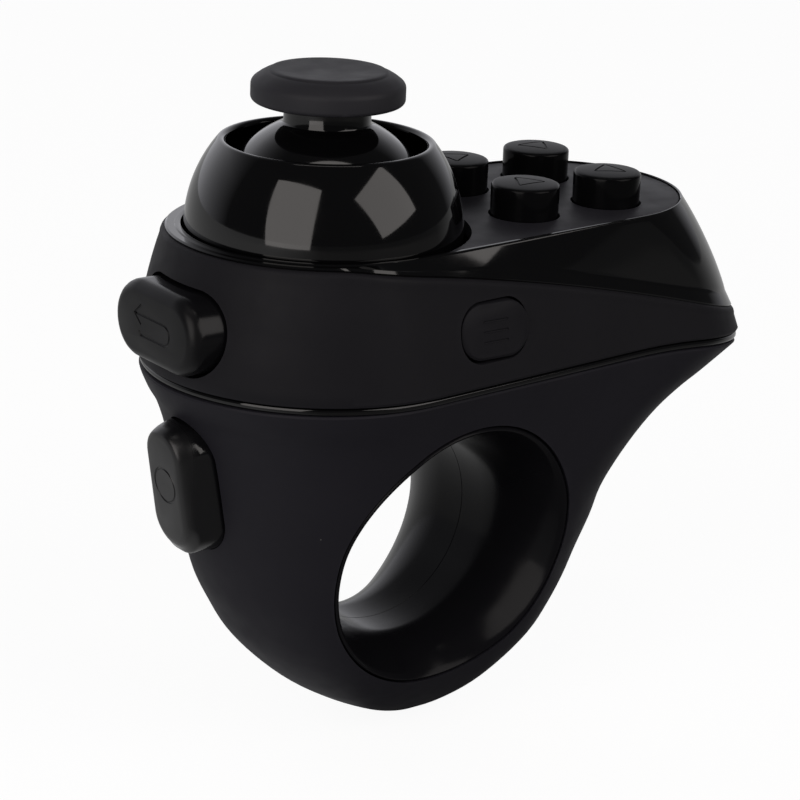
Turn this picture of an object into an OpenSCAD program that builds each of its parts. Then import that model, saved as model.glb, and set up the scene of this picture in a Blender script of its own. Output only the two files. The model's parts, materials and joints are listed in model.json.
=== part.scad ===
// Finger-worn motion controller: a ring body, a thumb stick, four action buttons,
// a back button, a trigger and a menu button.
// Origin: centre of the finger hole. +Y runs along the hole, +Z is up towards the
// stick, and +X runs towards the tail. All sizes are in millimetres.

/* [Finger hole] */
// Radius of the round throat that the finger goes through
throat_r = 11; // [9.5:0.5:11]
// Half the length of the straight part of the throat
throat_half = 3.5; // [3:0.5:4]
// Radius of the flared mouth
mouth_r = 13.9; // [13.6:0.1:14.2]

/* [Body] */
// Distance of the stick axis in front of the finger hole
stick_back = 7.9; // [7.5:0.1:8.2]
// Height of the waist line, where the two shells meet
waist_z = 18.2; // [18:0.1:18.4]
// Height of the deck that carries the action buttons
deck_z = 32; // [31.8:0.1:32.4]
// Wall thickness of the shells
wall = 1.5; // [1.2:0.1:1.6]

/* [Thumb stick] */
// Height of the stick's pivot
pivot_z = 31.7; // [31.5:0.1:31.9]
// Outer radius of the dome that moves with the stick
dome_r = 11.3; // [10.8:0.1:11.4]
// Outer radius of the fixed collar round the dome
collar_r = 13.7; // [13.5:0.1:13.9]
// Radius of the opening in the collar
lip_r = 9.8; // [9.6:0.1:10.4]
// Radius of the neck under the cap
neck_r = 4.25; // [3.5:0.05:4.4]
// Radius of the thumb cap
cap_r = 7.5; // [6.5:0.1:8]

/* [Buttons] */
// Radius of an action button
action_r = 3.45; // [3:0.05:3.6]
// Height of an action button above the deck
action_proud = 3.3; // [2:0.05:3.4]
// Half the spacing of the action buttons along the body
action_half_x = 5.36; // [5:0.02:5.6]
// Half the spacing of the action buttons across the body
action_half_y = 5.77; // [5.2:0.01:6]

/* [Hidden] */
$fn = 96;
eps = 0.01;
stick_x = -stick_back;
action_x = 17.9;
fit_gap = 0.15;

// Counts of points round a body outline
n_rear = 20;
n_side = 8;
n_front = 28;

// ---- outlines and lofts ----

// Outline of two circles on the X axis joined by their tangents
function tangent_angle(xf, rf, xr, rr) = acos((rf - rr) / (xr - xf));
function arc(x, r, a0, a1, n) =
    [for (i = [0:n]) let (a = a0 + (a1 - a0) * i / n) [x + r * cos(a), r * sin(a)]];
function between(p, q, n) = [for (i = [1:n - 1]) p + (q - p) * i / n];
function outline(xf, rf, xr, rr) =
    let (a = tangent_angle(xf, rf, xr, rr),
         tail = arc(xr, rr, -a, a, n_rear),
         nose = arc(xf, rf, a, 360 - a, n_front))
    concat(tail, between(tail[n_rear], nose[0], n_side),
           nose, between(nose[n_front], tail[0], n_side));
n_ring = n_rear + n_front + 2 * n_side;

// The waist line droops towards the tail
waist_droop = 3;
droop_from = 20;
tail_x = 43;
function droop(x) = waist_droop * pow(max(0, (x - droop_from) / (tail_x - droop_from)), 2);
// The top edge of the matt band falls from the collar to the tail
band_top_z = 31.6;
function band_z(x) = min(band_top_z, 31.2 - 0.15 * (x + 12) - 0.0016 * pow(x + 12, 2));

// Triangles between ring i and ring k, of n points each
function strip(i, k, n) = [for (j = [0:n - 1]) let (m = (j + 1) % n)
    each [[i * n + j, k * n + j, k * n + m], [i * n + j, k * n + m, i * n + m]]];
module ring_loft(rings) {
    count = len(rings);
    polyhedron(points = [for (r = rings) each r],
               faces = [for (i = [0:count - 1]) each strip(i, (i + 1) % count, n_ring)]);
}
// A loft with a flat fan at each end
function centre(ring) = [for (k = [0:2]) let (v = [for (p = ring) p[k]]) (min(v) + max(v)) / 2];
module capped_loft(rings) {
    count = len(rings);
    last = (count - 1) * n_ring;
    tip0 = count * n_ring;
    polyhedron(
        points = concat([for (r = rings) each r], [centre(rings[0]), centre(rings[count - 1])]),
        faces = concat(
            [for (i = [0:count - 2]) each strip(i, i + 1, n_ring)],
            [for (j = [0:n_ring - 1]) [tip0, j, (j + 1) % n_ring]],
            [for (j = [0:n_ring - 1]) [tip0 + 1, last + (j + 1) % n_ring, last + j]]));
}
function at_height(pts, z) = [for (p = pts) [p[0], p[1], z]];
function at_waist(pts, up) = [for (p = pts) [p[0], p[1], waist_z + up - droop(p[0])]];
function at_band(pts, up) = [for (p = pts) [p[0], p[1], band_z(p[0]) + up]];

// A stadium along Y, drawn in the YZ plane and run along +X from x0 to x1
module slot_x(half_y, half_z, x0, x1) {
    r = min(half_y, half_z);
    translate([x0, 0, 0]) rotate([90, 0, 90]) linear_extrude(x1 - x0) {
        square([2 * (half_y - r) + eps, 2 * half_z], center = true);
        square([2 * half_y, 2 * (half_z - r) + eps], center = true);
        for (sy = [-1, 1], sz = [-1, 1])
            translate([sy * (half_y - r), sz * (half_z - r)]) circle(r);
    }
}
// A rounded rectangle in the XZ plane, run along +Y from y0 to y1
module plate_y(half_x, half_z, r, y0, y1) {
    translate([0, y1, 0]) rotate([90, 0, 0]) linear_extrude(y1 - y0) {
        square([2 * (half_x - r), 2 * half_z], center = true);
        square([2 * half_x, 2 * (half_z - r)], center = true);
        for (sx = [-1, 1], sz = [-1, 1])
            translate([sx * (half_x - r), sz * (half_z - r)]) circle(r);
    }
}
module block(lo, hi) { translate(lo) cube(hi - lo); }
module rod_y(r, y0, y1) { translate([0, y0, 0]) rotate([-90, 0, 0]) cylinder(r = r, h = y1 - y0); }
module rod_x(r, x0, x1) { translate([x0, 0, 0]) rotate([0, 90, 0]) cylinder(r = r, h = x1 - x0); }
module rod_z(r, z0, z1) { translate([0, 0, z0]) cylinder(r = r, h = z1 - z0); }
module at_pivot() { translate([stick_x, 0, pivot_z]) children(); }

// ---- fixed shells ----

// Stations down the lower shell:
// [drop below the waist, front x, tail x, front radius, tail radius]
stations = [
    [39.7, 0.5, 5.5, 1.4, 1.4], [38.5, -2.5, 8, 4.4, 4.4], [36.5, -6.5, 12, 6.8, 6.8],
    [34, -10.5, 15.2, 8.8, 8.8], [31, -14, 18.4, 10.3, 10.3], [28, -16.7, 20.3, 11.4, 11.4],
    [25, -18.5, 21.8, 12.2, 12.2], [22, -20, 23, 12.8, 12.8], [18.5, -21, 24.6, 13.5, 13.4],
    [15.5, -21.5, 25.7, 14, 13.8], [12.5, -22, 27.7, 14.6, 14.2], [9.5, -22.5, 30.3, 15.2, 14.5],
    [7, -23, 33, 15.7, 14.7], [5, -23.6, 35.8, 16.1, 14.8], [3.5, -24.2, 38.2, 16.5, 14.9],
    [2.2, -25, 40.1, 16.9, 15], [0.9, -25.6, 41.9, 17.3, 15.1], [0, -25.8, 42.7, 17.5, 15.1]];
function station_ring(s) = at_waist(outline(s[1] + s[3], s[3], s[2] - s[4], s[4]), -s[0]);

cavity_floor_z = 16.6;
cavity_tail_x = 33;
trigger_z = 7.8;

// Radius of the liner at a distance y from the middle of the hole
flare_depth = 7.1;
flare_rate = (mouth_r - throat_r) / pow(flare_depth, 2);
function liner_r(y) = min(mouth_r, throat_r + flare_rate * pow(max(0, y - throat_half), 2));
liner_wall = 1.1;
liner_reach = 17.5;
flare_steps = 10;
flare_end = throat_half + flare_depth;
function liner_profile(grow) = concat(
    [[liner_r(0) + grow, 0]],
    [for (i = [0:flare_steps]) let (y = throat_half + (flare_end - throat_half) * i / flare_steps)
        [liner_r(y) + grow, y]],
    [[mouth_r + grow, liner_reach]]);
// Everything inside the liner's outer skin, with a little clearance
module liner_void() {
    for (side = [0, 1]) mirror([0, side, 0]) rotate([-90, 0, 0]) rotate_extrude()
        polygon(concat([[0, -eps]], liner_profile(liner_wall + 0.05), [[0, liner_reach]]));
}
// The pocket for the trigger's switch and board, and a lightening pocket at the tail
chamber_lo = [-17.5, -5.2, -0.4];
chamber_hi = [-13.6, 5.2, 20];
tail_pocket_lo = [18.5, -8, 11];
tail_pocket_hi = [27, 8, 20];
// Posts that the main board is screwed to
boss_x = 28;
boss_y = 7.5;
board_z0 = 19.7;
board_z1 = 20.7;

// The solid inside the shell's outer skin, drawn in by a little
module shell_solid(inset) {
    capped_loft([for (s = stations)
        station_ring([s[0], s[1] + inset, s[2] - inset, s[3] - inset, s[4] - inset])]);
}
module lower_shell() {
    color("#1c1c22") {
        difference() {
            capped_loft(concat(
                [for (s = stations) station_ring(s)],
                [at_waist(outline(-8.2, 17.4 - wall, cavity_tail_x - 12.6, 12.6), 0)],
                [at_height(outline(-8.2, 17 - wall, cavity_tail_x - 12.8, 12.4), cavity_floor_z)]));
            liner_void();
            translate([0, 0, trigger_z])
                slot_x(trigger_half_y + 0.3, trigger_half_z + 0.3, -30, -17);
            block(chamber_lo, chamber_hi);
            block(tail_pocket_lo, tail_pocket_hi);
        }
        for (sy = [-1, 1]) translate([boss_x, sy * boss_y, 0]) difference() {
            rod_z(2.2, cavity_floor_z - 1, board_z0);
            rod_z(0.9, cavity_floor_z - 0.5, board_z0 + 1);
        }
    }
}

waist_trim_h = 0.8;
module waist_trim() {
    color("#0b0b0d") ring_loft([
        at_waist(outline(stick_x, 17.5, 27.7, 14.75), 0),
        at_waist(outline(stick_x, 17.5, 27.7, 14.75), waist_trim_h),
        at_waist(outline(stick_x, 15.9, 27.2, 13.2), waist_trim_h),
        at_waist(outline(stick_x, 15.9, 27.2, 13.2), 0)]);
}

band_foot_r = 18.1;
band_head_r = 16;
// At half height the nose stands this much further forward than a straight side would
band_nose = 0.5;
function at_mid_band(pts) = [for (p = pts)
    [p[0], p[1], 0.5 * (waist_z + waist_trim_h + 0.35 - droop(p[0])) + 0.5 * (band_z(p[0]) - 0.6)]];
back_z = 24.3;
menu_x = 0.9;
menu_z = 24.3;
slider_x = 2;
socket_x = 20;
socket_z = 22.1;
module upper_shell() {
    color("#1d1e21") difference() {
        ring_loft([
            at_waist(outline(stick_x, band_foot_r - 0.25, 27.8, 15), waist_trim_h),
            at_waist(outline(stick_x, band_foot_r, 27.8, 15.2), waist_trim_h + 0.35),
            at_mid_band(outline(stick_x - band_nose, (band_foot_r + band_head_r + 0.1) / 2, 28, 14.9)),
            at_band(outline(stick_x, band_head_r + 0.1, 28.2, 14.6), -0.6),
            at_band(outline(stick_x, band_head_r, 28.2, 14.4), 0),
            at_band(outline(stick_x, band_head_r - wall, 28.2, 14.4 - wall), 0),
            at_waist(outline(stick_x, band_foot_r - wall - 0.3, 27.8, 15.2 - wall), waist_trim_h)]);
        translate([0, 0, back_z]) slot_x(7.45, 4.25, -32, -18);
        translate([menu_x, 0, menu_z]) plate_y(4.35, 2.95, 2.7, -20, -13);
        translate([slider_x, 0, menu_z]) plate_y(3.6, 1.75, 1.7, 13, 20);
        translate([socket_x, 0, socket_z]) plate_y(4.1, 1.65, 0.8, 12, 20);
        translate([socket_x - 8, 0, menu_z - 1.5]) rod_y(0.85, 12, 20);
    }
}

// The gloss trim: a thin rim at the collar that grows into a tall wedge at the tail
rim_in = 14.35;
function ramp(x) = min(1, max(0, (x + 8) / 12));
function crease_z(x) = band_z(x) + 0.5 + 0.65 * ramp(x);
function skirt_z(x) = band_top_z - 0.1 - 1.1 * ramp(x);
function at_fn(pts, kind) = [for (p = pts) let (x = p[0])
    [x, p[1],
     kind == "brim" ? band_z(x) + 0.3 :
     kind == "crease" ? min(deck_z - 0.1, crease_z(x)) :
     kind == "wall" ? 0.45 * min(deck_z - 0.1, crease_z(x)) + 0.55 * deck_z :
     kind == "inside" ? 0.55 * band_z(x) + 0.45 * skirt_z(x) :
     skirt_z(x)]];
module top_trim() {
    color("#0b0b0d") ring_loft([
        at_band(outline(stick_x, 16, 28.2, 14.4), 0),
        at_fn(outline(stick_x, 15.85, 28.3, 14.1), "brim"),
        at_fn(outline(stick_x, 15.3, 28, 13.4), "crease"),
        at_fn(outline(stick_x, 14.95, 24.9, 13.1), "wall"),
        at_height(outline(stick_x, 14.6, 21.8, 12.8), deck_z),
        at_height(outline(stick_x, rim_in, 21.8, 12.55), deck_z - 0.1),
        at_fn(outline(stick_x, rim_in, 21.8, 12.55), "skirt"),
        at_fn(outline(stick_x, 14.45, 25.2, 11.9), "inside"),
        at_band(outline(stick_x, 14.6, 28.2, 12.9), 0)]);
}

// Places of the four action buttons: front or rear, near or far
action_places = [for (sx = [-1, 1], sy = [-1, 1])
    [action_x + sx * action_half_x, sy * action_half_y]];
deck_t = 1.5;
module deck_plate() {
    color("#202126") translate([0, 0, deck_z - deck_t]) difference() {
        linear_extrude(deck_t) polygon(outline(stick_x, rim_in - 0.1, 21.8, 12.45));
        translate([stick_x, 0, -1]) cylinder(r = 14.5, h = 4);
        block([-30, -20, -1], [-2.5, 20, 4]);
        for (p = action_places) translate([p[0], p[1], -1]) cylinder(r = action_r + fit_gap, h = 4);
    }
}

collar_in = collar_r - 0.7;
collar_foot = -2.8;
module stick_collar() {
    lip_z = sqrt(collar_in * collar_in - lip_r * lip_r);
    color("#0b0b0d") at_pivot() {
        difference() {
            sphere(collar_r);
            sphere(collar_in);
            rod_z(20, lip_z, 20);
            rod_z(20, -20, 0);
        }
        difference() {
            union() {
                rod_z(collar_r, collar_foot, 0);
                rod_z(14.2, collar_foot, collar_foot + 0.7);
            }
            rod_z(collar_in, collar_foot - 1, 1);
        }
    }
}

// One half of the liner: the throat and the flare, ending flush with the shell's skin
module liner_half(side) {
    intersection() {
        mirror([0, side, 0]) rotate([-90, 0, 0]) rotate_extrude() polygon(concat(
            liner_profile(0), [for (i = [flare_steps + 2:-1:0]) liner_profile(liner_wall)[i]]));
        shell_solid(0.1);
    }
}
module ring_liner_near() { color("#0b0b0d") liner_half(1); }
module ring_liner_far() { color("#0b0b0d") liner_half(0); }

// ---- thumb stick mechanism, drawn about its pivot ----

frame_half = 8;
post_in = 6.4;
post_w = 2.2;
trunnion_r = 1.2;
running = 0.06;
floor_z = -11;
module stick_base() {
    color("#3a3a3c") at_pivot() difference() {
        union() {
            block([-frame_half, -frame_half, floor_z], [frame_half, frame_half, floor_z + 0.8]);
            for (s = [-1, 1]) {
                block([min(s * post_in, s * frame_half), -post_w, floor_z],
                      [max(s * post_in, s * frame_half), post_w, 2.2]);
                block([-post_w, min(s * post_in, s * frame_half), floor_z],
                      [post_w, max(s * post_in, s * frame_half), 2.2]);
            }
        }
        rod_y(trunnion_r + running, -10, 10);
        rod_x(trunnion_r + running, -10, 10);
        for (sx = [-1, 1], sy = [-1, 1]) translate([sx * 6, sy * 6, 0]) rod_z(0.65, -12, -9);
    }
}

// Inner gimbal ring: turns about Y in the base and carries the stick's cross pin
ring_out = 5.2;
ring_hole = 3.9;
ring_t = 1.1;
pin_r = 0.8;
module pitch_rocker() {
    color("#d8d6cf") at_pivot() difference() {
        union() {
            block([-ring_out, -ring_out, -ring_t], [ring_out, ring_out, ring_t]);
            rod_y(trunnion_r, -7.9, 7.9);
        }
        block([-ring_hole, -ring_hole, -3], [ring_hole, ring_hole, 3]);
        rod_x(pin_r + running, -10, 10);
    }
}

// Outer cradle: turns about X, with a slot that the stick's tail slides in
arm_in = 5.5;
arm_out = 6.2;
bar_z0 = -6.6;
bar_z1 = -5.6;
module roll_rocker() {
    color("#d8d6cf") at_pivot() {
        for (s = [0, 1]) mirror([s, 0, 0]) {
            block([arm_in, -1.9, bar_z0], [arm_out, 1.9, 1.7]);
            rod_x(trunnion_r, arm_out - eps, 7.9);
        }
        difference() {
            block([-arm_out, -2.5, bar_z0], [arm_out, 2.5, bar_z1]);
            block([-4, -1.5, bar_z0 - 1], [4, 1.5, bar_z1 + 1]);
        }
    }
}

shaft_r = 1.9;
tail_r = 1.2;
module stick_shaft() {
    color("#d8d6cf") at_pivot() difference() {
        union() {
            rod_x(2.2, -3.6, 3.6);
            rod_z(shaft_r, 0, 13.4);
            rod_z(tail_r, -6.9, 0);
        }
        rod_x(pin_r, -10, 10);
    }
}
module cross_pin() { color("silver") at_pivot() rod_x(pin_r, -5.1, 5.1); }
module tail_magnet() { color("#8a8a90") at_pivot() rod_z(1.1, -7.4, -6.9); }

dome_wall = 1.2;
dome_rim_z = 0.95;
neck_top = 12.2;
module stick_dome() {
    color("#0b0b0d") at_pivot() difference() {
        union() {
            sphere(dome_r);
            rod_z(neck_r, 8, neck_top);
        }
        sphere(dome_r - dome_wall);
        rod_z(20, -20, dome_rim_z);
        rod_z(shaft_r + 0.03, 0, 20);
    }
}

// Cap with an upright edge, a sloping shoulder and a slightly dished pad
cap_profile = [[0, 13.4], [1.95, 13.4], [1.95, 12.2], [4.4, 12.2], [4.7, 12.5], [7, 12.6],
               [7.4, 12.8], [7.5, 13.1], [7.5, 14.2], [7.3, 14.7], [6.6, 15.3], [5.75, 15.7],
               [5.3, 15.6], [3, 15.35], [0, 15.25]];
module thumb_cap() {
    color("#26262b") at_pivot() rotate_extrude()
        polygon([for (p = cap_profile) [p[0] * (p[0] > 5 ? cap_r / 7.5 : 1), p[1]]]);
}

spring_r = 3.1;
spring_wire = 0.2;
spring_z0 = floor_z + 0.8 + spring_wire;
spring_z1 = -8.15 - spring_wire;
spring_turns = 3;
spring_steps = 20;
spring_sides = 8;
function coil_point(i, k) =
    let (a = 360 * i / spring_steps, b = 360 * k / spring_sides, r = spring_r + spring_wire * cos(b))
    [r * cos(a), r * sin(a),
     spring_z0 + (spring_z1 - spring_z0) * i / (spring_turns * spring_steps) + spring_wire * sin(b)];
module return_spring() {
    n = spring_turns * spring_steps;
    m = spring_sides;
    color("silver") at_pivot() polyhedron(
        points = concat([for (i = [0:n], k = [0:m - 1]) coil_point(i, k)],
                        [[spring_r, 0, spring_z0], [spring_r, 0, spring_z1]]),
        faces = concat(
            [for (i = [0:n - 1], k = [0:m - 1]) let (l = (k + 1) % m)
                each [[i * m + k, i * m + l, (i + 1) * m + l],
                      [i * m + k, (i + 1) * m + l, (i + 1) * m + k]]],
            [for (k = [0:m - 1]) [(n + 1) * m, (k + 1) % m, k]],
            [for (k = [0:m - 1]) [(n + 1) * m + 1, n * m + k, n * m + (k + 1) % m]]));
}
module spring_plate() {
    color("#3a3a3c") at_pivot() difference() {
        rod_z(4.6, -8.1, -7.55);
        rod_z(1.6, -9, -7);
    }
}
module tilt_sensor() {
    color("#17181a") at_pivot() block([-1.5, -1.5, floor_z + 0.8], [1.5, 1.5, floor_z + 1.7]);
}

// ---- action buttons ----

action_flange_z1 = deck_z - deck_t - 0.2;
action_flange_z0 = action_flange_z1 - 0.7;
action_stem_z = action_flange_z0 - 0.7;
module action_button(i) {
    p = action_places[i];
    color("#0e0e10") translate([p[0], p[1], 0]) rotate_extrude() polygon([
        [0, action_stem_z], [1.4, action_stem_z], [1.4, action_flange_z0],
        [action_r + 0.7, action_flange_z0], [action_r + 0.7, action_flange_z1],
        [action_r, action_flange_z1], [action_r, deck_z + action_proud - 0.55],
        [action_r - 0.35, deck_z + action_proud - 0.15],
        [action_r - 0.8, deck_z + action_proud], [0, deck_z + action_proud]]);
}
module action_button_front_near() { action_button(0); }
module action_button_front_far() { action_button(1); }
module action_button_rear_near() { action_button(2); }
module action_button_rear_far() { action_button(3); }

button_board_z1 = 26.6;
button_board_z0 = button_board_z1 - 0.8;
action_travel = 0.9;
switch_half = 2.2;
module action_switches() {
    color("#b9b9bd") for (p = action_places) translate([p[0], p[1], 0]) {
        block([-switch_half, -switch_half, button_board_z1],
              [switch_half, switch_half, button_board_z1 + 0.8]);
        rod_z(1.1, button_board_z1 + 0.8 - eps, action_stem_z - action_travel - 0.05);
    }
}

// ---- back button, on the nose of the band ----

// How far a button's sloped head is set in where it meets the button's straight sides
inset = 0.05;
back_half_y = 7.1;
back_half_z = 3.9;
back_face_x = -27.5;
back_shoulder_x = -26.3;
back_flange_x0 = -20.9;
back_flange_x1 = -20.2;
module back_button() {
    color("#101013") translate([0, 0, back_z]) {
        hull() {
            slot_x(back_half_y - 0.6, back_half_z - 0.5, back_face_x, back_face_x + 0.1, $fn = 32);
            slot_x(back_half_y - inset, back_half_z - inset,
                   back_shoulder_x + 0.3, back_shoulder_x + 0.4, $fn = 32);
        }
        slot_x(back_half_y, back_half_z, back_shoulder_x, back_flange_x0 + eps);
        slot_x(8, 4.6, back_flange_x0, back_flange_x1);
    }
}
back_travel = 0.8;
module back_switch() {
    color("#b9b9bd") translate([0, 0, back_z]) {
        block([-19.1, -2.2, -2.2], [-17.6, 2.2, 2.2]);
        rod_x(1.1, back_flange_x1 + back_travel + 0.05, -19.1 + eps);
    }
}
module front_board() {
    color("#1f4a2c") block([-17.6, -6.5, board_z1], [-16.8, 6.5, 27]);
}

// ---- trigger, on the nose of the lower shell ----

trigger_half_y = 3.6;
trigger_half_z = 6.7;
trigger_lean = 10.5;
trigger_face_x = -25.5;
trigger_shoulder_x = -23.9;
module trigger_button() {
    color("#101013") translate([0, 0, trigger_z]) {
        hull() {
            translate([trigger_face_x, 0, 0.3]) rotate([0, trigger_lean, 0])
                slot_x(trigger_half_y - 0.9, trigger_half_z - 1.1, -0.1, 0, $fn = 32);
            slot_x(trigger_half_y - inset, trigger_half_z - inset,
                   trigger_shoulder_x + 0.3, trigger_shoulder_x + 0.4, $fn = 32);
        }
        slot_x(trigger_half_y, trigger_half_z, trigger_shoulder_x, -17.3);
        slot_x(4.6, 7.5, -17.4, -16.8);
    }
}
trigger_travel = 1;
module trigger_switch() {
    color("#b9b9bd") translate([0, 0, trigger_z]) {
        block([-15.6, -2.2, -2.2], [-14.4, 2.2, 2.2]);
        rod_x(1, -16.8 + trigger_travel + 0.05, -15.6 + eps);
    }
}
module trigger_board() { color("#1f4a2c") block([-14.4, -4.6, 2.6], [-13.75, 4.6, 15]); }

// ---- menu button and power slider, on the flanks of the band ----

menu_face_y = -16.95;
menu_flange_y1 = -13.4;
module menu_button() {
    color("#0e0e10") translate([menu_x, 0, menu_z]) {
        plate_y(4.15, 2.75, 2.6, menu_face_y, menu_flange_y1 - 0.5);
        plate_y(4.8, 3.4, 2.6, menu_flange_y1 - 0.55, menu_flange_y1);
    }
}
menu_travel = 0.5;
module menu_switch() {
    color("#b9b9bd") translate([menu_x, 0, menu_z]) {
        block([-2, -12.3, -1.6], [2, -10.2, button_board_z0 - menu_z]);
        rod_y(0.9, menu_flange_y1 + menu_travel + 0.05, -12.3 + eps);
    }
}
slider_travel = 2.5;
module power_slider() {
    color("#0e0e10") translate([slider_x - slider_travel / 2, 0, menu_z]) {
        plate_y(2, 1.5, 1.2, 13.8, 17);
        plate_y(4.6, 2.3, 1, 13.3, 13.85);
        plate_y(0.8, 0.8, 0.3, 12.7, 13.35);
    }
}
module power_switch() {
    color("#b9b9bd") translate([slider_x, 0, menu_z])
        block([-4.2, 10.4, -1.6], [4.2, 12.65, button_board_z0 - menu_z]);
}
module charging_socket() {
    color("silver") translate([socket_x, 0, socket_z]) difference() {
        plate_y(3.75, 1.4, 0.6, 9.4, 14.9);
        plate_y(3.4, 1.05, 0.4, 10.2, 16);
    }
}
module status_light() {
    color("#dfe8ea") translate([socket_x - 8, 0, menu_z - 1.5]) {
        rod_y(0.8, 13, 15.75);
        rod_y(1.3, 12.2, 13);
    }
}

// ---- boards, radio and power ----

module main_board() {
    color("#1f4a2c") difference() {
        block([-16, -11, board_z0], [31, 11, board_z1]);
        for (sy = [-1, 1]) translate([boss_x, sy * boss_y, 0]) rod_z(1.2, board_z0 - 1, board_z1 + 1);
        for (sx = [-1, 1], sy = [-1, 1])
            translate([stick_x + sx * 6, sy * 6, 0]) rod_z(0.5, board_z0 - 1, board_z1 + 1);
    }
}
module button_board() {
    color("#1f4a2c") {
        block([7.5, -11, button_board_z0], [28, 11, button_board_z1]);
        block([-2.5, -12.3, button_board_z0], [7.6, -9.2, button_board_z1]);
        block([-2.5, 9.2, button_board_z0], [7.6, 12.3, button_board_z1]);
    }
}
module processor_chip() { color("#17181a") block([2.5, -3, board_z1], [7.5, 2, board_z1 + 0.9]); }
module wireless_module() { color("silver") block([10, -7, board_z1], [19, 2, board_z1 + 1.7]); }
module battery_cell() { color("#9aa0a6") block([-6, -9, cavity_floor_z], [24, 9, board_z0 - 0.2]); }
module battery_plug() { color("#ece7d8") block([23, -5, board_z1], [26.5, 1, board_z1 + 2.4]); }
module board_screws() {
    color("silver") for (sy = [-1, 1]) translate([boss_x, sy * boss_y, 0]) {
        rod_z(0.88, cavity_floor_z, board_z1 + eps);
        rod_z(1.9, board_z1, board_z1 + 1.1);
    }
}
module stick_screws() {
    color("silver") at_pivot() for (sx = [-1, 1], sy = [-1, 1]) translate([sx * 6, sy * 6, 0]) {
        rod_z(0.48, floor_z - 1.2, floor_z + 0.8 + eps);
        rod_z(1, floor_z + 0.8, floor_z + 1.4);
    }
}

lower_shell();
waist_trim();
upper_shell();
top_trim();
deck_plate();
stick_collar();
ring_liner_near();
ring_liner_far();
stick_base();
pitch_rocker();
roll_rocker();
stick_shaft();
cross_pin();
tail_magnet();
stick_dome();
thumb_cap();
return_spring();
spring_plate();
tilt_sensor();
action_button_front_near();
action_button_front_far();
action_button_rear_near();
action_button_rear_far();
action_switches();
back_button();
back_switch();
front_board();
trigger_button();
trigger_switch();
trigger_board();
menu_button();
menu_switch();
power_slider();
power_switch();
charging_socket();
status_light();
main_board();
button_board();
processor_chip();
wireless_module();
battery_cell();
battery_plug();
board_screws();
stick_screws();
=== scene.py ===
"""Looks of a finger-worn motion controller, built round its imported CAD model.

Shapes are worked out in millimetres, in the CAD's frame, and scaled to metres when a piece is placed.
The frame's origin is the centre of the finger hole: +Y along the hole, +Z up, +X towards the tail.
"""
import json
import math

import bmesh
import bpy
import numpy as np
from mathutils import Matrix, Vector
from mathutils.bvhtree import BVHTree


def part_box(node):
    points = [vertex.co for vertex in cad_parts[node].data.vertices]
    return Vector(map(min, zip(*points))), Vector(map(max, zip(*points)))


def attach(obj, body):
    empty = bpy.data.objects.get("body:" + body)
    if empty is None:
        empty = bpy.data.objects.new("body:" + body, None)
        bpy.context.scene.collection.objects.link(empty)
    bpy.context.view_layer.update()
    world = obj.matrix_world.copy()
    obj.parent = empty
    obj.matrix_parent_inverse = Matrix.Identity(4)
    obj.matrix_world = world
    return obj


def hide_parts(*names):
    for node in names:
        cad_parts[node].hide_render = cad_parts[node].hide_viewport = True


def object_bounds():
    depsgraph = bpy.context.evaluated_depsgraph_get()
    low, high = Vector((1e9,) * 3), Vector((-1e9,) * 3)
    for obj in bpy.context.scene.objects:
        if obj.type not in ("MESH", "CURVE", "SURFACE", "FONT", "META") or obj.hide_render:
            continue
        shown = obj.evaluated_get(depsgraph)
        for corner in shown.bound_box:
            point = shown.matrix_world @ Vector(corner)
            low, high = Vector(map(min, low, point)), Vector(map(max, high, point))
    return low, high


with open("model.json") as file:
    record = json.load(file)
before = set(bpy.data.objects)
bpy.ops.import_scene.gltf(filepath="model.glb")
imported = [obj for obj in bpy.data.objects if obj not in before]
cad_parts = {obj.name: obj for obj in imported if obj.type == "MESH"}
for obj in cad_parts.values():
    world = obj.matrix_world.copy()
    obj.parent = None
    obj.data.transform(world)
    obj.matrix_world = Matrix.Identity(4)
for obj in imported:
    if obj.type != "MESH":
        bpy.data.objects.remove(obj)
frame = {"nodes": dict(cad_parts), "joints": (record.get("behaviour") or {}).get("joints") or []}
cad_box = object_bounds()

MM = 0.001
WHITE = (1, 1, 1, 1)

# ---- places taken from the frame ----

joints = {joint["name"]: joint for joint in frame["joints"]}
pivot = Vector(joints["stick_pitch"]["pos_m"]) / MM
STICK_X = pivot.x


def low(node):
    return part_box(node)[0] / MM


def high(node):
    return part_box(node)[1] / MM


def middle(node):
    return (low(node) + high(node)) / 2


DECK_Z = high("deck_plate").z
BAND_TOP = high("upper_shell").z
BACK = middle("back_button")
BACK_FACE = low("back_button").x
TRIGGER_Z = middle("trigger_switch").z
MENU = middle("menu_button")
SLIDER = middle("power_slider")
SOCKET = middle("charging_socket")
LIGHT = middle("status_light")

# ---- sizes that the frame doesn't hold ----

WAIST_Z = 18.2
WAIST_DROOP = 3
DROOP_FROM = 20
TAIL_X = 43
BEAD_GAP = 0.8
WALL = 1.5
FOOT_R, HEAD_R = 18.1, 16
FOOT_TAIL = (27.8, 15.2)
HEAD_TAIL = (28.2, 14.4)
CAVITY_FLOOR = 16.6
COLLAR_R, COLLAR_IN, LIP_R = 13.7, 13.0, 9.8
DOME_R, DOME_IN, NECK_R = 11.3, 10.1, 4.25
THROAT_R, THROAT_HALF = 11.0, 3.5
MOUTH = (0.4, -0.2)
MOUTH_R = 13.9
MOUTH_TALL = 1.035
DECK_TAIL = (21.8, 12.8)
RIM_IN = 13.98


# ---- mesh helpers ----

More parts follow.
